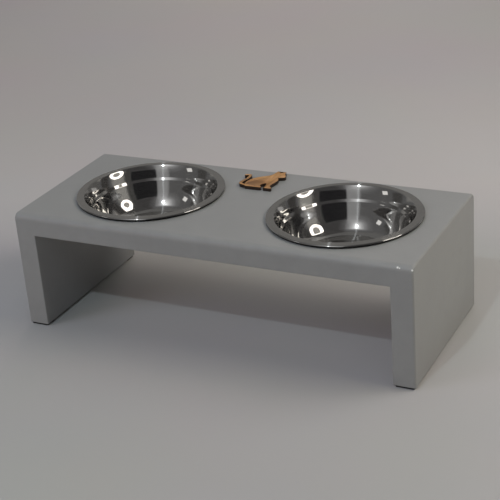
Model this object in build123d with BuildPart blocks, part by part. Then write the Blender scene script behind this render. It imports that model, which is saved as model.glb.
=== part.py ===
from build123d import *
import os

# Double cat bowl: a low stand of painted boards with two round holes, and a steel bowl hung in each hole.
# A thin plywood cat is glued on the top board between the bowls.
# Sizes are in millimetres. The origin is on the floor under the middle of the stand. +X runs to the right
# as seen from the front, +Y runs to the back, and +Z runs up.

os.makedirs("parts", exist_ok=True)

# Bowls
mouth_radius = 61.5
bowl_sheet = 0.7
lip_width = 7.0
lip_fall = 0.4  # the lip's outer edge is this much lower than its mouth edge
lip_gap = 0.2  # bottom of the curled edge above the board
curl_radius = 0.9  # bends of the curled edge, to the middle of the sheet
curl_side = 0.2  # straight stretch between those two bends
curl_return = 1.9  # how far the curled edge turns back under the lip
mouth_round = 1.0  # bend from the lip into the throat, to the middle of the sheet
throat_height = 4.6  # lip to the bend of the throat
throat_draw = 3.2  # the throat draws in by this much on its way to its bend
throat_round = 28.0
upper_wall_height = 6.6  # bend of the throat to the shoulder
upper_wall_draw = 2.2
shoulder_height = 2.4
shoulder_step = 1.7
shoulder_round = 1.3
shoulder_foot_round = 2.7
lower_wall_draw = 4.7  # the lower wall draws in by this much on its way to its bend
lower_wall_round = 34.0
bowl_depth = 36.1  # top of the board to the bowl's floor
floor_rise = 12.2  # floor to the bend of the lower wall
floor_draw = 9.1  # from the bend of the lower wall to the corner of the floor
floor_round = 11.7

# Boards
board_thickness = 20.0
leg_height = 90.0
left_margin = 29.5  # lip to the left end of the stand
right_margin = 21.5  # lip to the right end of the stand
bowl_spacing_gap = 55.0  # lip to lip
depth_margin = 11.5  # lip to the front and to the back of the stand
long_edge_round = 6.0  # upper front and back edges
end_round = 2.0  # edges around the two ends
edge_break = 0.8  # all other edges that show
hole_clearance = 1.0  # outside of the bowl's mouth to the hole, all round
hole_break = 0.5

# Dowels inside the corners
dowel_radius = 4.0
dowel_length = 30.0
dowel_in_top = 12.0  # the part of each dowel that is in the top board
dowel_spacing = 50.0
dowel_count = 3
dowel_break = 0.8
glue_film = 0.05  # around each dowel
glue_space = 0.5  # at each end of a dowel

# Foot pads
pad_height = 2.0
pad_depth = 12.0
pad_side_gap = 1.5  # pad to the faces of its leg
pad_end_gap = 1.0  # pad to the front or back edge of its leg
pad_corner_round = 1.5
pad_edge_round = 0.4

# Cat emblem
emblem_height = 41.2  # paws to ear tips, as it lies on the board
emblem_thickness = 3.0
emblem_back_gap = 1.8  # ear tips to the start of the rounded back edge
tail_width = 2.8
paw_round = 0.6
ear_round = 0.4

# Worked out from the sizes above
half_sheet = bowl_sheet / 2
lip_radius = mouth_radius + lip_width
stand_length = left_margin + right_margin + bowl_spacing_gap + 4 * lip_radius
stand_depth = 2 * (lip_radius + depth_margin)
end_x = stand_length / 2
front_y = stand_depth / 2
board_bottom = pad_height + leg_height
board_top = board_bottom + board_thickness
leg_x = end_x - board_thickness / 2
bowl_places = {
    "left_bowl": -end_x + left_margin + lip_radius,
    "right_bowl": end_x - right_margin - lip_radius,
}
leg_places = {"left": -leg_x, "right": leg_x}


# Top board: the section with its two rounded long edges runs the length of the stand
with BuildPart() as top_board:
    with BuildSketch(Plane.YZ) as board_section:
        with Locations((0, (board_bottom + board_top) / 2)):
            Rectangle(stand_depth, board_thickness)
        upper_corners = board_section.vertices().group_by(Axis.Y)[-1]
        fillet(upper_corners, radius=long_edge_round)
    extrude(amount=end_x, both=True)

    # The edges around each end, but not the joint with the leg
    for end_face in top_board.faces().filter_by(Axis.X):
        joint_edge = end_face.edges().sort_by(Axis.Z)[0]
        shown_edges = [edge for edge in end_face.edges() if edge != joint_edge]
        fillet(shown_edges, radius=end_round)

    # The lower long edges are softened only over the opening between the legs
    with BuildSketch(Plane.YZ) as lower_edges:
        with Locations((-front_y, board_bottom), (front_y, board_bottom)):
            Rectangle(2 * edge_break, 2 * edge_break)
        with Locations(
            (-front_y + edge_break, board_bottom + edge_break),
            (front_y - edge_break, board_bottom + edge_break),
        ):
            Circle(edge_break, mode=Mode.SUBTRACT)
    extrude(amount=end_x - board_thickness, both=True, mode=Mode.SUBTRACT)

    # A hole for each bowl, with its upper edge broken
    with Locations(*[(bowl_x, 0, board_top) for bowl_x in bowl_places.values()]):
        Hole(radius=mouth_radius + bowl_sheet + hole_clearance)
    hole_rims = top_board.edges().filter_by(GeomType.CIRCLE).filter_by(Plane.XY).group_by(Axis.Z)[-1]
    chamfer(hole_rims, length=hole_break)

    # Blind dowel holes from below
    with BuildSketch(Plane.XY.offset(board_bottom)) as top_dowel_holes:
        with Locations(*[(leg_place, 0) for leg_place in leg_places.values()]):
            with GridLocations(0, dowel_spacing, 1, dowel_count):
                Circle(dowel_radius + glue_film)
    extrude(amount=dowel_in_top + glue_space, mode=Mode.SUBTRACT)
top_board.part.label = "top_board"
export_step(top_board.part, "parts/top_board.step")


# Side boards: the legs, flush with the ends of the top board, and the dowels that join them to it
for side, leg_place in leg_places.items():
    outer, inner = (0, -1) if side == "left" else (-1, 0)
    with BuildPart() as side_board:
        with BuildSketch(Plane.XY.offset(pad_height)) as leg_plan:
            with Locations((leg_place, 0)):
                Rectangle(board_thickness, stand_depth)
            fillet(leg_plan.vertices().group_by(Axis.X)[outer], radius=end_round)
            fillet(leg_plan.vertices().group_by(Axis.X)[inner], radius=edge_break)
        extrude(amount=leg_height)
        foot_edges = side_board.faces().sort_by(Axis.Z)[0].edges()
        fillet(foot_edges, radius=edge_break / 2)
        with BuildSketch(Plane.XY.offset(board_bottom)) as leg_dowel_holes:
            with Locations((leg_place, 0)):
                with GridLocations(0, dowel_spacing, 1, dowel_count):
                    Circle(dowel_radius + glue_film)
        extrude(amount=dowel_in_top - dowel_length - glue_space, mode=Mode.SUBTRACT)
    side_board.part.label = side + "_side_board"
    export_step(side_board.part, "parts/" + side + "_side_board.step")

    with BuildPart() as dowels:
        with BuildSketch(Plane.XY.offset(board_bottom + dowel_in_top - dowel_length)) as dowel_ends:
            with Locations((leg_place, 0)):
                with GridLocations(0, dowel_spacing, 1, dowel_count):
                    Circle(dowel_radius)
        extrude(amount=dowel_length)
        chamfer(dowels.edges().filter_by(GeomType.CIRCLE), length=dowel_break)
    dowels.part.label = side + "_dowels"
    export_step(dowels.part, "parts/" + side + "_dowels.step")

    # A pad under the front and the back corner of this leg
    for end, direction in {"front": -1, "back": 1}.items():
        with BuildPart() as pad:
            with BuildSketch(Plane.XY) as pad_plan:
                with Locations((leg_place, direction * (front_y - pad_end_gap - pad_depth / 2))):
                    RectangleRounded(board_thickness - 2 * pad_side_gap, pad_depth, pad_corner_round)
            extrude(amount=pad_height)
            fillet(pad.faces().sort_by(Axis.Z)[0].edges(), radius=pad_edge_round)
        pad.part.label = end + "_" + side + "_pad"
        export_step(pad.part, "parts/" + end + "_" + side + "_pad.step")


# Bowls: the middle line of the pressed sheet, from the curled edge of the lip to the centre of the floor,
# is thickened to the sheet and turned about the bowl's own axis
curl_low = lip_gap + half_sheet
lip_edge_height = curl_low + 2 * curl_radius + curl_side
wall_radius = mouth_radius + half_sheet
lip_edge_radius = lip_radius - half_sheet
mouth = (wall_radius, lip_edge_height + lip_fall)
throat = (mouth[0] - throat_draw, mouth[1] - throat_height)
shoulder = (throat[0] - upper_wall_draw, throat[1] - upper_wall_height)
shoulder_foot = (shoulder[0] - shoulder_step, shoulder[1] - shoulder_height)
bowl_floor = -bowl_depth - half_sheet
wall_bend = (shoulder_foot[0] - lower_wall_draw, bowl_floor + floor_rise)
bowl_bends = {
    "curl": ((lip_edge_radius, curl_low), curl_radius),
    "lip edge": ((lip_edge_radius, lip_edge_height), curl_radius),
    "mouth": (mouth, mouth_round),
    "throat": (throat, throat_round),
    "shoulder": (shoulder, shoulder_round),
    "shoulder foot": (shoulder_foot, shoulder_foot_round),
    "lower wall": (wall_bend, lower_wall_round),
    "floor": ((wall_bend[0] - floor_draw, bowl_floor), floor_round),
}
for bowl_name, bowl_x in bowl_places.items():
    hole_centre = (bowl_x, 0, board_top)
    with BuildPart() as bowl:
        with BuildSketch(Plane(origin=hole_centre, x_dir=(1, 0, 0), z_dir=(0, -1, 0))) as bowl_section:
            with BuildLine() as sheet_middle:
                FilletPolyline(
                    (lip_edge_radius - curl_return, curl_low),
                    *[corner for corner, bend in bowl_bends.values()],
                    (0, bowl_floor),
                    radius=[bend for corner, bend in bowl_bends.values()],
                )
            trace(line_width=bowl_sheet)
        revolve(axis=Axis(hole_centre, (0, 0, 1)))
    bowl.part.label = bowl_name
    export_step(bowl.part, "parts/" + bowl_name + ".step")


# Cat emblem: a cat that stands on its paws and looks to the right, with its tail curled up behind it.
# Its points are shares of its height, to the right of its shoulder and up from its paws
paws_y = front_y - long_edge_round - emblem_back_gap - emblem_height


def on_cat(right, up):
    """A point of the emblem's outline on the top board."""
    return (right * emblem_height, paws_y + up * emblem_height)


with BuildPart() as cat_emblem:
    with BuildSketch(Plane.XY.offset(board_top)) as cat_outline:
        with BuildLine() as cat_edge:
            front_paw = FilletPolyline(
                on_cat(0.18, 0), on_cat(0.36, 0), on_cat(0.36, 0.05), on_cat(0.30, 0.11), radius=paw_round
            )
            chest = Spline(front_paw @ 1, on_cat(0.29, 0.22), on_cat(0.32, 0.37), on_cat(0.27, 0.60))
            muzzle = Spline(
                chest @ 1, on_cat(0.33, 0.64), on_cat(0.40, 0.68), on_cat(0.40, 0.74), on_cat(0.34, 0.83)
            )
            ears = FilletPolyline(
                muzzle @ 1,
                on_cat(0.30, 0.99),
                on_cat(0.20, 0.92),
                on_cat(0.11, 1),
                on_cat(0.08, 0.88),
                radius=ear_round,
            )
            back = Spline(
                ears @ 1, on_cat(0, 0.69), on_cat(-0.18, 0.56), on_cat(-0.31, 0.37), on_cat(-0.27, 0)
            )
            hind_paw = FilletPolyline(
                back @ 1, on_cat(0.11, 0), on_cat(0.11, 0.05), on_cat(0.05, 0.12), radius=paw_round
            )
            belly = Spline(
                hind_paw @ 1, on_cat(0.08, 0.21), on_cat(0.14, 0.25), on_cat(0.17, 0.17), front_paw @ 0
            )
        make_face()
        with BuildLine() as tail_middle:
            tail = Spline(
                on_cat(-0.22, 0.08),
                on_cat(-0.44, 0.16),
                on_cat(-0.40, 0.42),
                on_cat(-0.44, 0.63),
                on_cat(-0.52, 0.60),
            )
        trace(line_width=tail_width)
        with Locations(tail @ 1):
            Circle(tail_width / 2)
    extrude(amount=emblem_thickness)
cat_emblem.part.label = "cat_emblem"
export_step(cat_emblem.part, "parts/cat_emblem.step")
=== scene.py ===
# %% [markdown]
# # Dressing a double cat bowl
# The object is a low stand of grey painted boards. Two polished steel bowls hang in round holes in its top,
# and a small plywood cat lies between them. The solids already exist, in metres, with the origin on the floor
# under the middle of the stand. This lesson gives them their surfaces, and models the thin pieces again with
# more care: the bowls and the cat.

# %% Load the solids
import math

import bpy
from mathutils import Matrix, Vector


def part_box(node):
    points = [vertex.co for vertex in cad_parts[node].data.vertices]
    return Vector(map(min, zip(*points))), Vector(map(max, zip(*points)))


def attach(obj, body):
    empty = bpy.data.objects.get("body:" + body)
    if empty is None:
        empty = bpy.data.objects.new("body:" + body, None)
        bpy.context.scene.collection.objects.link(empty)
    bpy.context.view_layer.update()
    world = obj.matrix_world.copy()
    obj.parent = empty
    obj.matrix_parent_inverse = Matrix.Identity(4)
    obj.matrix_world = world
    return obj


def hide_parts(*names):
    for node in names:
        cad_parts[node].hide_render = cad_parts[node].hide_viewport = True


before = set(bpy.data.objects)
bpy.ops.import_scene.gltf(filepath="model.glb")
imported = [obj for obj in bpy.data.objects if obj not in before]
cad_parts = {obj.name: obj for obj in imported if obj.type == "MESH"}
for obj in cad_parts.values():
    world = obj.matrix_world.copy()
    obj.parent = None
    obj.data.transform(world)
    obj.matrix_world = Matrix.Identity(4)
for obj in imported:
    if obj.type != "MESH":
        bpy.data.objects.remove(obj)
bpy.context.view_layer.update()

# %% [markdown]
# ## The camera
# The stand is seen from its right front corner and from above, far enough away for its edges to run almost
# parallel. The place, the turn and the lens come from the corners of the boards and the rims of the bowls in
# the picture.

# %% Camera
view = bpy.data.cameras.new("view")
view.lens = 96.64
view.sensor_width = 36.0
camera = bpy.data.objects.new("view", view)
camera.location = (0.51796, -0.97394, 0.57316)
camera.rotation_euler = [math.radians(turn) for turn in (65.2072, 4.1707, 25.8282)]
bpy.context.collection.objects.link(camera)
bpy.context.scene.camera = camera
bpy.context.scene.view_settings.view_transform = "Standard"
print("camera distance in mm", round(1000 * camera.location.length))

# %% [markdown]
# ## Small helpers
# An operator works on all that is selected, so every step starts from nothing selected. The first node helper
# adds a node and sets its sockets in one line. The others give the nodes that nearly every material needs:
# sums of vectors, mixes, colour ramps and ranges.


# %% Helpers
def select_only(*pieces):
    """Leave edit mode, deselect everything and select these pieces; the last one is active."""
    if bpy.context.object and bpy.context.object.mode != "OBJECT":
        bpy.ops.object.mode_set(mode="OBJECT")
    bpy.ops.object.select_all(action="DESELECT")
    for piece in pieces:
        piece.select_set(True)
        bpy.context.view_layer.objects.active = piece


def new_finish(name):
    """A material with its node tree and its shader."""
    finish = bpy.data.materials.new(name)
    finish.use_nodes = True
    return finish, finish.node_tree, finish.node_tree.nodes["Principled BSDF"]


def add(tree, kind, sockets=None, **settings):
    """Add a node, set its settings, and set or link its sockets."""
    node = tree.nodes.new(kind)
    for name, value in settings.items():
        setattr(node, name, value)
    for name, value in (sockets or {}).items():
        if isinstance(value, bpy.types.NodeSocket):
            tree.links.new(value, node.inputs[name])
        else:
            node.inputs[name].default_value = value
    return node


def arrow(tree, operation, first, second=(0, 0, 0)):
    """A sum with one or two vectors. A dot product, a length and a distance are numbers."""
    node = add(tree, "ShaderNodeVectorMath", {0: first, 1: second}, operation=operation)
    return node.outputs["Value" if operation in ("DOT_PRODUCT", "LENGTH", "DISTANCE") else "Vector"]


def mix(tree, share, first, second, way="MIX", label=""):
    """Two colours in one; the share is that of the second."""
    sockets = {"Factor": share, 6: first, 7: second}
    return add(tree, "ShaderNodeMix", sockets, data_type="RGBA", blend_type=way, label=label).outputs[2]


def ramp(tree, value, *stops):
    """A colour ramp from pairs of place and colour."""
    node = add(tree, "ShaderNodeValToRGB", {"Fac": value})
    while len(node.color_ramp.elements) < len(stops):
        node.color_ramp.elements.new(0.5)
    for element, (place, colour) in zip(node.color_ramp.elements, stops):
        element.position = place
        element.color = (*colour, 1)
    return node.outputs["Color"]


def spread(tree, value, low, high, to_low, to_high, **settings):
    """Map a range of values onto another one."""
    sockets = {"Value": value, "From Min": low, "From Max": high, "To Min": to_low, "To Max": to_high}
    return add(tree, "ShaderNodeMapRange", sockets, **settings).outputs["Result"]


# %% [markdown]
# ## Floor and room
# The stand is on a pale floor that fills the view and gets a little lighter away from the eye; that lighter
# far part is painted light, standing for the brighter lit wall behind the stand. Polished steel shows the
# room more than itself. The room could be modelled wall by wall, but the bowls only need to know how bright
# it is in each direction. So it is a sky put together from soft-edged parts: ceilings, walls, a dark side and
# a bright bay in front, with the haze round the small front lamp added over them all.

# %% Floor
# Painted light: between these two distances towards the back the floor turns lighter and warmer, standing for
# the lit wall
to_back = (-0.362, 0.932, 0)
near_end, far_end = 0.13, 0.3
near_tint, painted_light_far_tint = (0.42, 0.412, 0.408), (0.505, 0.487, 0.47)
cloud_share = 0.06

select_only()
bpy.ops.mesh.primitive_plane_add(size=12)
floor = bpy.context.object
floor.name = "floor"
paper, tree, shader = new_finish("floor_paint")
place = add(tree, "ShaderNodeTexCoord").outputs["Object"]
depth = spread(tree, arrow(tree, "DOT_PRODUCT", place, to_back), near_end, far_end, 0, 1)
tint = ramp(tree, depth, (0.0, near_tint), (1.0, painted_light_far_tint))
cloud = add(tree, "ShaderNodeTexNoise", {"Vector": place, "Scale": 3.0, "Detail": 4.0}).outputs["Color"]
tree.links.new(mix(tree, cloud_share, tint, cloud, way="OVERLAY"), shader.inputs["Base Color"])
shader.inputs["Roughness"].default_value = 0.6
floor.data.materials.append(paper)
print("floor", floor.dimensions[:2])

# %% Parts of the room
# All angles are in degrees: turn from the front towards the right, half of the width, lowest and highest
# angle, softness of the sides, softness of the top and bottom, and then the tone. A part covers those before.
bare_room = (0.12, 0.119, 0.12)
room_parts = [
    ("back ceiling", -150, 70, 40, 95, 24, 16, (0.15, 0.148, 0.145)),
    ("dim ceiling", 95, 58, 44, 95, 20, 14, (0.072, 0.070, 0.069)),
    ("high shelf", 165, 22, 48, 60, 12, 6, (0.29, 0.285, 0.275)),
    ("wall behind", -157, 36, -20, 46, 14, 10, (0.185, 0.18, 0.173)),
    ("left wall", -110, 12, 9, 38, 8, 7, (0.235, 0.23, 0.22)),
    ("left shade", -77, 10, -20, 27, 7, 6, (0.072, 0.070, 0.068)),
    ("far right", 151, 15, -10, 34, 8, 8, (0.125, 0.122, 0.117)),
    ("low window", 151, 6, -10, 11, 5, 3, (0.42, 0.41, 0.40)),
    ("right corner", 134, 6, 24, 52, 5, 7, (0.26, 0.25, 0.235)),
    ("right door", 122, 8, -20, 44, 7, 7, (0.055, 0.052, 0.05)),
    ("under the ring", 93, 11, -20, 27, 13, 8, (0.33, 0.32, 0.30)),
    ("low lamp", 96, 5, -20, 9, 5, 3, (0.55, 0.54, 0.50)),
    ("beside the dark", 73, 6, -20, 45, 6, 8, (0.075, 0.073, 0.07)),
    ("bright bay", 7, 11, -30, 44, 9, 14, (0.31, 0.312, 0.315)),
    ("dim side", 50, 27, 34, 76, 10, 18, (0.066, 0.064, 0.064)),
    ("dark side", 43, 24, -80, 36, 3, 2, (0.018, 0.018, 0.019)),
]
haze_middle = Vector((-0.0857, -0.6097, 0.788)).normalized()
haze_reach = 32
haze_stops = [
    (0.0, (2.2, 2.25, 2.3)),
    (0.05, (1.35, 1.38, 1.40)),
    (0.15, (0.80, 0.81, 0.82)),
    (0.29, (0.46, 0.465, 0.47)),
    (0.44, (0.22, 0.222, 0.225)),
    (0.65, (0.07, 0.07, 0.072)),
    (1.0, (0, 0, 0)),
]


# %% Helpers for the room
def number(tree, operation, first, second=0.0):
    """A sum with one or two numbers."""
    return add(tree, "ShaderNodeMath", {0: first, 1: second}, operation=operation).outputs[0]


def sine(angle):
    """The sine of an angle in degrees."""
    return math.sin(math.radians(angle))


def cosine(angle):
    """The cosine of an angle in degrees."""
    return math.cos(math.radians(angle))


def soft_step(tree, value, low, high):
    """0 below the first value, 1 above the second, smooth between them."""
    return spread(tree, value, low, high, 0.0, 1.0, interpolation_type="SMOOTHSTEP")


# %% Sky
room = bpy.data.worlds.new("room")
room.use_nodes = True
bpy.context.scene.world = room
tree = room.node_tree
sky = tree.nodes["Background"]
heading = add(tree, "ShaderNodeTexCoord").outputs["Generated"]
height = add(tree, "ShaderNodeSeparateXYZ", {"Vector": heading}).outputs["Z"]
level = arrow(tree, "NORMALIZE", arrow(tree, "MULTIPLY", heading, (1, 1, 0)))

tone = (*bare_room, 1)
for name, turn, half, low, high, soft_side, soft_end, colour in room_parts:
    facing = arrow(tree, "DOT_PRODUCT", level, (sine(turn), -cosine(turn), 0))
    above = soft_step(tree, height, sine(low - soft_end / 2), sine(low + soft_end / 2))
    beside = soft_step(tree, facing, cosine(half + soft_side / 2), cosine(half - soft_side / 2))
    part = number(tree, "MULTIPLY", above, beside)
    if high < 90:
        below = soft_step(tree, height, sine(high + soft_end / 2), sine(high - soft_end / 2))
        part = number(tree, "MULTIPLY", part, below)
    tone = mix(tree, part, tone, (*colour, 1), label=name)
off_middle = number(tree, "ARCCOSINE", arrow(tree, "DOT_PRODUCT", heading, haze_middle))
haze = ramp(tree, spread(tree, off_middle, 0.0, math.radians(haze_reach), 0.0, 1.0), *haze_stops)
tree.links.new(mix(tree, 1.0, tone, haze, way="ADD", label="haze"), sky.inputs["Color"])
sky.inputs["Strength"].default_value = 1.0
print("parts of the room", len(room_parts) + 1)


# %% [markdown]
# ## Lamps
# The shadows on the floor tell where the lamps are. A small cool lamp stands high in front and throws the
# sharp edge under the stand. Wide lamps at the back, above, at the right and at the front left fill the rest
# and make the soft shadows. All of them are kept out of the steel, where they would show as pale discs. What
# the steel does show is a star, a square and a ring, so these three light the steel alone.


# %% Helper for lamps
def lamp(name, place, aim, power, size, colour, shape="DISK"):
    """An area lamp that looks at a point."""
    data = bpy.data.lights.new(name, "AREA")
    data.shape = shape
    data.size = size
    data.energy = power
    data.color = colour
    item = bpy.data.objects.new(name, data)
    item.location = place
    item.rotation_euler = (Vector(aim) - Vector(place)).to_track_quat("-Z", "Y").to_euler()
    bpy.context.collection.objects.link(item)
    return item


# %% Lamps
stand_middle = (0, 0, 0.05)
bowls_middle = (0, 0, 0.1)

# Place, power, size, colour and shape
mirrored_lamps = {
    "star": ((-0.085, -1.463, 1.767), 6.5, 0.055, (0.90, 0.96, 1.0), "DISK"),
    "square": ((-1.987, -1.603, 1.380), 0.62, 0.46, (1.0, 0.98, 0.95), "SQUARE"),
}
for name, (place, power, size, colour, shape) in mirrored_lamps.items():
    lamp(name, place, bowls_middle, power, size, colour, shape).visible_diffuse = False

# Place, power, size and colour; all of them are discs
lighting_lamps = {
    "front_lamp": ((-0.04, -1.45, 1.78), 7.29, 0.05, (0.76, 0.93, 1.00)),
    "soft_back_right": ((0.72, 0.74, 2.0), 0.96, 0.7, (1.00, 0.35, 0.53)),
    "soft_ceiling": ((0.5, 1.0, 2.1), 3.74, 2.0, (0.69, 1.00, 0.61)),
    "soft_front_left": ((-1.4, -1.4, 1.15), 9.56, 0.9, (0.72, 0.78, 1.00)),
    "soft_low_left": ((-1.0, -1.6, 0.5), 3.57, 0.9, (1.00, 0.66, 0.35)),
    "soft_near_right": ((1.05, 0.1, 1.1), 5.70, 0.7, (1.00, 0.91, 0.67)),
    "soft_close_right": ((0.75, 0.35, 0.75), 2.35, 0.5, (1.00, 0.96, 1.00)),
    "soft_near_front": ((1.0, -0.9, 0.9), 1.31, 0.7, (0.92, 0.91, 1.00)),
    "soft_back": ((-0.6, 1.8, 0.9), 5.82, 0.9, (1.00, 0.80, 0.87)),
    "soft_above": ((0.0, 0.0, 2.3), 4.33, 1.6, (0.65, 0.71, 1.00)),
}
for name, (place, power, size, colour) in lighting_lamps.items():
    lamp(name, place, stand_middle, power, size, colour).visible_glossy = False
print("lamps", len(mirrored_lamps) + len(lighting_lamps))

# %% [markdown]
# The ring is a round lamp with a dull middle. An area lamp glows evenly all over, so this one is a flat mesh:
# a disc whose face is inset, with a bright finish on the outer part and a faint one on the inner part.

# %% Ring lamp
ring_radius = 0.389
ring_width = 0.19
ring_place = Vector((1.368, 0.208, 1.122))
ring_colour = (1.0, 0.95, 0.87)

select_only()
bpy.ops.mesh.primitive_circle_add(vertices=64, radius=ring_radius, fill_type="NGON", location=(0, 0, 0))
ring = bpy.context.object
ring.name = "ring_lamp"
bpy.ops.object.mode_set(mode="EDIT")
bpy.ops.mesh.select_all(action="SELECT")
bpy.ops.mesh.inset(thickness=ring_width)
bpy.ops.object.mode_set(mode="OBJECT")
for face in ring.data.polygons:
    face.material_index = 1 if face.select else 0
ring.location = ring_place
ring.rotation_euler = (Vector(bowls_middle) - ring_place).to_track_quat("-Z", "Y").to_euler()
bpy.ops.object.transform_apply(location=True, rotation=True, scale=True)
ring.visible_diffuse = False
for name, strength in (("lamp_glow", 3.2), ("lamp_middle", 0.4)):
    glow = bpy.data.materials.new(name)
    glow.use_nodes = True
    tree = glow.node_tree
    tree.nodes.clear()
    light = add(tree, "ShaderNodeEmission", {"Color": (*ring_colour, 1), "Strength": strength})
    add(tree, "ShaderNodeOutputMaterial", {"Surface": light.outputs[0]})
    ring.data.materials.append(glow)
print("ring faces", len(ring.data.polygons))

# %% [markdown]
# ## Painted boards
# The boards are painted a satin grey with a small roller, which leaves a fine stipple that only shows where
# light grazes it. The tone drifts a little from patch to patch, and a thin clear film gives the weak gloss.
# Three small light spots at the front right corner are painted highlights, standing for glints of the small
# front lamp on the rounded paint. The boards keep their own meshes, and the paint is made from three sizes of
# noise on the place in the object.

# %% Tones of the paint
# Painted highlights: three light spots on the front right corner, where the small front lamp glints on the
# paint
painted_glint_spots = [
    ((0.1766, -0.0786, 0.1098), 0.0011),
    ((0.1783, -0.0790, 0.1096), 0.0008),
    ((0.1888, -0.0788, 0.1090), 0.0010),
]
darker_grey, lighter_grey = (0.262, 0.264, 0.260), (0.286, 0.288, 0.283)
glint_white = (0.80, 0.80, 0.78)


def noise(tree, place, scale, detail, roughness=0.5):
    """Cloudy noise at a place, from 0 to 1."""
    sockets = {"Vector": place, "Scale": scale, "Detail": detail, "Roughness": roughness}
    return add(tree, "ShaderNodeTexNoise", sockets).outputs["Fac"]


def relief(tree, shader, *layers):
    """Stack bumps: each layer is a height, its strength and its depth in metres."""
    normal = None
    for height, strength, depth in layers:
        bump = add(tree, "ShaderNodeBump", {"Height": height, "Strength": strength, "Distance": depth})
        if normal:
            tree.links.new(normal, bump.inputs["Normal"])
        normal = bump.outputs["Normal"]
    tree.links.new(normal, shader.inputs["Normal"])


# %% Paint
def roller_paint():
    """Grey satin paint with a fine stipple, and painted highlights in three spots at a corner."""
    paint, tree, shader = new_finish("grey_satin_paint")
    place = add(tree, "ShaderNodeTexCoord").outputs["Object"]
    patches = noise(tree, place, scale=9.0, detail=3.0, roughness=0.55)
    streaks = noise(tree, place, scale=75.0, detail=4.0, roughness=0.6)
    stipple = noise(tree, place, scale=850.0, detail=2.0)
    drift = spread(tree, number(tree, "ADD", patches, streaks), 0.75, 1.25, 0, 1)
    colour = ramp(tree, drift, (0.0, darker_grey), (1.0, lighter_grey))
    # Painted highlights: the paint turns near white round each spot
    for spot, reach in painted_glint_spots:
        glint = spread(tree, arrow(tree, "DISTANCE", place, spot), reach, reach * 0.5, 0.0, 1.0)
        colour = mix(tree, glint, colour, (*glint_white, 1))
    tree.links.new(colour, shader.inputs["Base Color"])
    tree.links.new(spread(tree, streaks, 0.3, 0.7, 0.36, 0.46), shader.inputs["Roughness"])
    relief(tree, shader, (stipple, 0.25, 0.00025), (streaks, 0.15, 0.0006))
    shader.inputs["Coat Weight"].default_value = 0.35
    shader.inputs["Coat Roughness"].default_value = 0.2
    return paint


# %% Paint on the boards
paint = roller_paint()
for name in ("top_board", "left_side_board", "right_side_board"):
    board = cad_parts[name]
    board.data.materials.clear()
    board.data.materials.append(paint)
    print(name, "painted")


# %% [markdown]
# ## Foot pads and dowels
# The pads are stamped from black sheet rubber, dull and faintly grainy. The dowels are beech, hidden in the
# joints, with the short dark flecks of that wood along their length.


# %% Rubber and beech
def pad_rubber():
    """Dull black rubber."""
    rubber, tree, shader = new_finish("black_rubber")
    place = add(tree, "ShaderNodeTexCoord").outputs["Object"]
    grain = noise(tree, place, scale=700.0, detail=3.0)
    colour = ramp(tree, grain, (0.3, (0.012, 0.012, 0.012)), (0.7, (0.03, 0.03, 0.029)))
    tree.links.new(colour, shader.inputs["Base Color"])
    tree.links.new(spread(tree, grain, 0.3, 0.7, 0.7, 0.85), shader.inputs["Roughness"])
    relief(tree, shader, (grain, 0.4, 0.0002))
    return rubber


def beech():
    """Pale beech with flecks along the dowel."""
    wood, tree, shader = new_finish("beech_dowel")
    place = add(tree, "ShaderNodeTexCoord").outputs["Object"]
    drawn = add(tree, "ShaderNodeMapping", {"Vector": place, "Scale": (1.0, 1.0, 0.08)}).outputs[0]
    rings = noise(tree, drawn, scale=420.0, detail=4.0)
    flecks = add(tree, "ShaderNodeTexVoronoi", {"Vector": drawn, "Scale": 900.0}).outputs["Distance"]
    body = ramp(tree, rings, (0.3, (0.56, 0.38, 0.22)), (0.7, (0.74, 0.55, 0.37)))
    marks = ramp(tree, flecks, (0.05, (0.55, 0.42, 0.3)), (0.25, (1, 1, 1)))
    tree.links.new(mix(tree, 0.6, body, marks, way="MULTIPLY"), shader.inputs["Base Color"])
    tree.links.new(spread(tree, rings, 0.3, 0.7, 0.5, 0.65), shader.inputs["Roughness"])
    relief(tree, shader, (rings, 0.3, 0.0002))
    return wood


# %% Pads and dowels
rubber, wood = pad_rubber(), beech()
for name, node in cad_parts.items():
    if name.endswith("_pad") or name.endswith("_dowels"):
        node.data.materials.clear()
        node.data.materials.append(rubber if name.endswith("_pad") else wood)
        print(name, node.data.materials[0].name)

# %% [markdown]
# ## Bowls
# Each bowl is pressed from thin steel sheet: a wall with a small shoulder, a rounded floor, and a lip whose
# edge is curled under. A lathe makes such a shape in one go, so half of its section is drawn as a chain of
# points, its corners are rounded, and the chain is spun about the middle of the bowl. The sheet gets its
# thickness last, half to each side.

# %% Section of a bowl
# Each corner is its distance from the middle of the bowl, its height above the board and the radius of its
# bend, in millimetres. The crown of the lip is a hair low, so that the finer mesh stays inside its solid.
board_top = 0.112
sheet = 0.7
section = [
    (66.25, 0.55, 0),
    (68.15, 0.55, 0.9),
    (68.15, 2.55, 0.9),
    (61.85, 2.947, 1.0),
    (58.65, -1.65, 28.0),
    (56.45, -8.25, 1.3),
    (54.70, -10.65, 2.7),
    (50.05, -24.25, 34.0),
    (40.95, -36.45, 11.7),
    (0.0, -36.45, 0),
]
degrees_per_step = 5
steps_round = 192

# In metres: how near a point is to the corner that it stands for, how near points are that get welded, and
# the lengths beyond which an edge of the chain is halved, one after the other
same_place, weld = 1e-5, 1e-6
longest_edges = (0.0096, 0.0048, 0.0024)
print("corners of the section", len(section))


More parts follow.
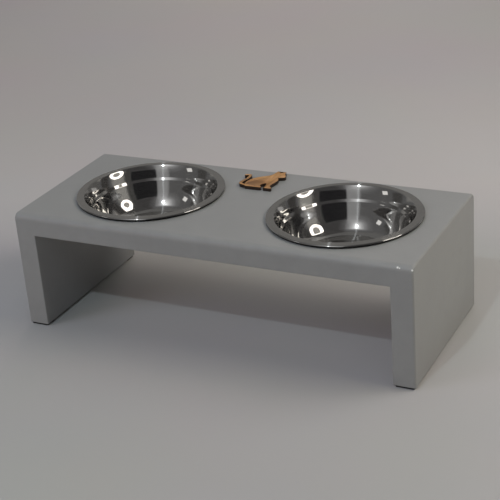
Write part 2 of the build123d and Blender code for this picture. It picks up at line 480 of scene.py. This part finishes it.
# %% Helpers for the section
def pick(piece, kind, wanted):
    """In edit mode, select the vertices, edges or faces that the test wants."""
    bpy.ops.object.mode_set(mode="EDIT")
    bpy.ops.mesh.select_all(action="DESELECT")
    bpy.ops.mesh.select_mode(type={"vertices": "VERT", "edges": "EDGE", "polygons": "FACE"}[kind])
    bpy.ops.object.mode_set(mode="OBJECT")
    for part in getattr(piece.data, kind):
        if wanted(part):
            part.select = True
    bpy.ops.object.mode_set(mode="EDIT")


def turn_at(before, corner, after):
    """How much the chain turns at a corner."""
    first = math.atan2(corner[1] - before[1], corner[0] - before[0])
    second = math.atan2(after[1] - corner[1], after[0] - corner[0])
    return abs((second - first + math.pi) % (2 * math.pi) - math.pi)


# %% Chain of points
def draw_section(bowl, spots):
    """Draw the chain of points and round its corners."""
    bpy.ops.object.mode_set(mode="EDIT")
    bpy.ops.mesh.select_mode(type="VERT")
    bpy.ops.mesh.select_all(action="SELECT")
    bpy.ops.mesh.merge(type="CENTER")
    for here, there in zip(spots, spots[1:]):
        bpy.ops.mesh.extrude_region_move(TRANSFORM_OT_translate={"value": there - here})
    for spot, before, corner, after in zip(spots[1:], section, section[1:], section[2:]):
        turn = turn_at(before, corner, after)
        pick(bowl, "vertices", lambda point: (point.co - spot).length < same_place)
        bpy.ops.mesh.bevel(
            offset=corner[2] / 1000 * math.tan(turn / 2),
            segments=max(4, round(math.degrees(turn) / degrees_per_step)),
            affect="VERTICES",
            clamp_overlap=False,
        )


def halve_long_edges(bowl, longest):
    """Split every edge of the chain that is longer than this."""
    points = bowl.data.vertices

    def is_long(edge):
        start, end = (points[corner].co for corner in edge.vertices)
        return (start - end).length > longest

    pick(bowl, "edges", is_long)
    bpy.ops.mesh.subdivide(number_cuts=1)


# %% Bowl from its section
def spin_bowl(name, middle):
    """Draw the half section, spin it, and give it the thickness of the sheet."""
    spots = [Vector((middle + across / 1000, 0, board_top + up / 1000)) for across, up, bend in section]
    select_only()
    bpy.ops.mesh.primitive_plane_add(size=0.001, location=spots[0])
    bowl = bpy.context.object
    bowl.name = name
    bpy.ops.object.transform_apply(location=True, rotation=True, scale=True)
    draw_section(bowl, spots)
    for longest in longest_edges:
        halve_long_edges(bowl, longest)
    axis = {"center": (middle, 0, board_top), "axis": (0, 0, 1)}
    bpy.ops.mesh.select_all(action="SELECT")
    bpy.ops.mesh.spin(steps=steps_round, angle=2 * math.pi, use_auto_merge=True, **axis)
    bpy.ops.mesh.select_all(action="SELECT")
    bpy.ops.mesh.remove_doubles(threshold=weld)
    bpy.ops.mesh.normals_make_consistent(inside=False)
    select_only(bowl)
    solidify = bowl.modifiers.new("sheet", "SOLIDIFY")
    solidify.thickness = sheet / 1000
    solidify.offset = 0.0
    solidify.use_even_offset = True
    solidify.use_rim = True
    bpy.ops.object.modifier_apply(modifier=solidify.name)
    bpy.ops.object.shade_smooth_by_angle(angle=math.radians(40))
    return bowl


# %% [markdown]
# Polished steel is nearly a mirror. The polishing wheel runs round the bowl and leaves hair lines along its
# path, so light smears across them, up and down the wall. A sharp layer and a weak brushed layer together
# give both: the crisp lamps and their soft upright streaks. The lower outside of the curled edge is painted
# near black, as painted shade for the shadowed gap between the curl and the board.

# %% Steel
duller_steel, brighter_steel = (0.60, 0.59, 0.575), (0.66, 0.65, 0.635)
# Painted shade: the outside of the curl below this height is near black, for the shadowed gap under the lip
painted_gap_shade = (0.02, 0.02, 0.02)
painted_shade_reach = (0.0662, 0.0670)
painted_shade_height = (board_top + 0.0017, board_top + 0.0022)
brushed_share = 0.10


def polished_steel(name, middle):
    """Mirror steel whose fine lines run round the bowl."""
    steel, tree, shader = new_finish(name)
    place = add(tree, "ShaderNodeTexCoord").outputs["Object"]
    arm = arrow(tree, "SUBTRACT", place, (middle, 0, 0))
    flat = arrow(tree, "MULTIPLY", arm, (1, 1, 0))
    reach = arrow(tree, "LENGTH", flat)
    along = arrow(tree, "CROSS_PRODUCT", (0, 0, 1), flat)
    height = add(tree, "ShaderNodeSeparateXYZ", {"Vector": arm}).outputs["Z"]
    line = add(tree, "ShaderNodeCombineXYZ", {"X": reach, "Y": 0.0, "Z": height}).outputs[0]
    hairs = noise(tree, line, scale=2600.0, detail=3.0, roughness=0.6)
    waves = noise(tree, line, scale=120.0, detail=1.0)
    smears = noise(tree, place, scale=55.0, detail=5.0, roughness=0.65)
    bright = ramp(tree, smears, (0.3, duller_steel), (0.7, brighter_steel))
    # Painted shade on the lower outside of the curl
    outside = spread(tree, reach, *painted_shade_reach, 0, 1)
    below = spread(tree, height, *painted_shade_height, 1, 0)
    colour = mix(tree, number(tree, "MULTIPLY", outside, below), bright, (*painted_gap_shade, 1))
    tree.links.new(colour, shader.inputs["Base Color"])
    tree.links.new(spread(tree, smears, 0.35, 0.75, 0.03, 0.075), shader.inputs["Roughness"])
    shader.inputs["Metallic"].default_value = 1.0
    relief(tree, shader, (waves, 0.03, 0.0004), (hairs, 0.004, 0.00004))
    lines = {"Color": colour, "Roughness": 0.42, "Anisotropy": 0.92, "Tangent": along}
    brushed = add(tree, "ShaderNodeBsdfAnisotropic", lines)
    layers = {0: brushed_share, 1: shader.outputs[0], 2: brushed.outputs[0]}
    blended = add(tree, "ShaderNodeMixShader", layers)
    tree.links.new(blended.outputs[0], tree.nodes["Material Output"].inputs["Surface"])
    return steel


# %% Both bowls
for side in ("left", "right"):
    node = side + "_bowl"
    low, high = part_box(node)
    middle = (low.x + high.x) / 2
    bowl = spin_bowl(side + "_steel_bowl", middle)
    bowl.data.materials.append(polished_steel(side + "_polished_steel", middle))
    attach(bowl, node)
    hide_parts(node)
    triangles = sum(len(face.vertices) - 2 for face in bowl.data.polygons)
    print(bowl.name, "triangles", triangles, "mm", [round(1000 * x, 2) for x in bowl.dimensions])

# %% [markdown]
# ## Cat
# The cat is cut from thin plywood with a laser, which burns the cut edge nearly black and tans a hair of the
# top beside it. Its shape is taken from the solid: a copy is joined up, its flat faces become single faces,
# and the top is inset to get that scorched border.

# %% Cat piece
scorched_border = 0.0005

select_only(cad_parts["cat_emblem"])
bpy.ops.object.duplicate()
cat = bpy.context.object
cat.name = "plywood_cat"
for key in list(cat.keys()):
    del cat[key]
cat.parent = None
bpy.ops.object.mode_set(mode="EDIT")
bpy.ops.mesh.select_all(action="SELECT")
bpy.ops.mesh.remove_doubles(threshold=weld)
bpy.ops.mesh.dissolve_limited(angle_limit=math.radians(0.5), use_dissolve_boundaries=False)
pick(cat, "polygons", lambda face: face.normal.z > 0.99)
bpy.ops.mesh.inset(thickness=scorched_border, use_even_offset=True)
bpy.ops.object.mode_set(mode="OBJECT")
inner = {corner for face in cat.data.polygons if face.select for corner in face.vertices}
burn = cat.data.attributes.new("burn", "FLOAT", "POINT")
for point in cat.data.vertices:
    burn.data[point.index].value = 0.0 if point.index in inner else 1.0
print("cat faces", len(cat.data.polygons), "inner points", len(inner))

# %% [markdown]
# The top of the cat is varnished, with its grain drawn out along it. The cut edge is charred, and the plies
# still show there as slightly browner layers. The border was marked on the points of the mesh, so one
# finish can tell the clean wood from the burnt wood.

# %% Cat finish
dark_tan, light_tan = (0.33, 0.162, 0.058), (0.56, 0.31, 0.135)
black_char, brown_char = (0.012, 0.007, 0.005), (0.035, 0.018, 0.010)


def burnt_plywood():
    """Varnished ply on top, scorched edges with the plies still faintly visible."""
    ply, tree, shader = new_finish("burnt_plywood")
    place = add(tree, "ShaderNodeTexCoord").outputs["Object"]
    drawn = add(tree, "ShaderNodeMapping", {"Vector": place, "Scale": (0.12, 1.0, 1.0)}).outputs[0]
    grain = noise(tree, drawn, scale=650.0, detail=5.0, roughness=0.6)
    figure = noise(tree, drawn, scale=110.0, detail=3.0)
    wood_tone = spread(tree, number(tree, "ADD", grain, figure), 0.75, 1.25, 0, 1)
    tan = ramp(tree, wood_tone, (0.0, dark_tan), (1.0, light_tan))
    upright = add(tree, "ShaderNodeSeparateXYZ", {"Vector": place}).outputs["Z"]
    layer = add(tree, "ShaderNodeCombineXYZ", {"X": 0.0, "Y": 0.0, "Z": upright}).outputs[0]
    char = ramp(tree, noise(tree, layer, scale=1400.0, detail=1.0), (0.4, black_char), (0.65, brown_char))
    burnt = add(tree, "ShaderNodeAttribute", attribute_name="burn").outputs["Fac"]
    edge = ramp(tree, burnt, (0.55, (0, 0, 0)), (0.95, (1, 1, 1)))
    tree.links.new(mix(tree, edge, tan, char), shader.inputs["Base Color"])
    tree.links.new(spread(tree, grain, 0.3, 0.7, 0.42, 0.56), shader.inputs["Roughness"])
    relief(tree, shader, (grain, 0.3, 0.0001))
    return ply


# %% Finished cat
cat.data.materials.clear()
cat.data.materials.append(burnt_plywood())
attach(cat, "stand")
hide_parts("cat_emblem")
print("cat finished with", cat.data.materials[0].name)
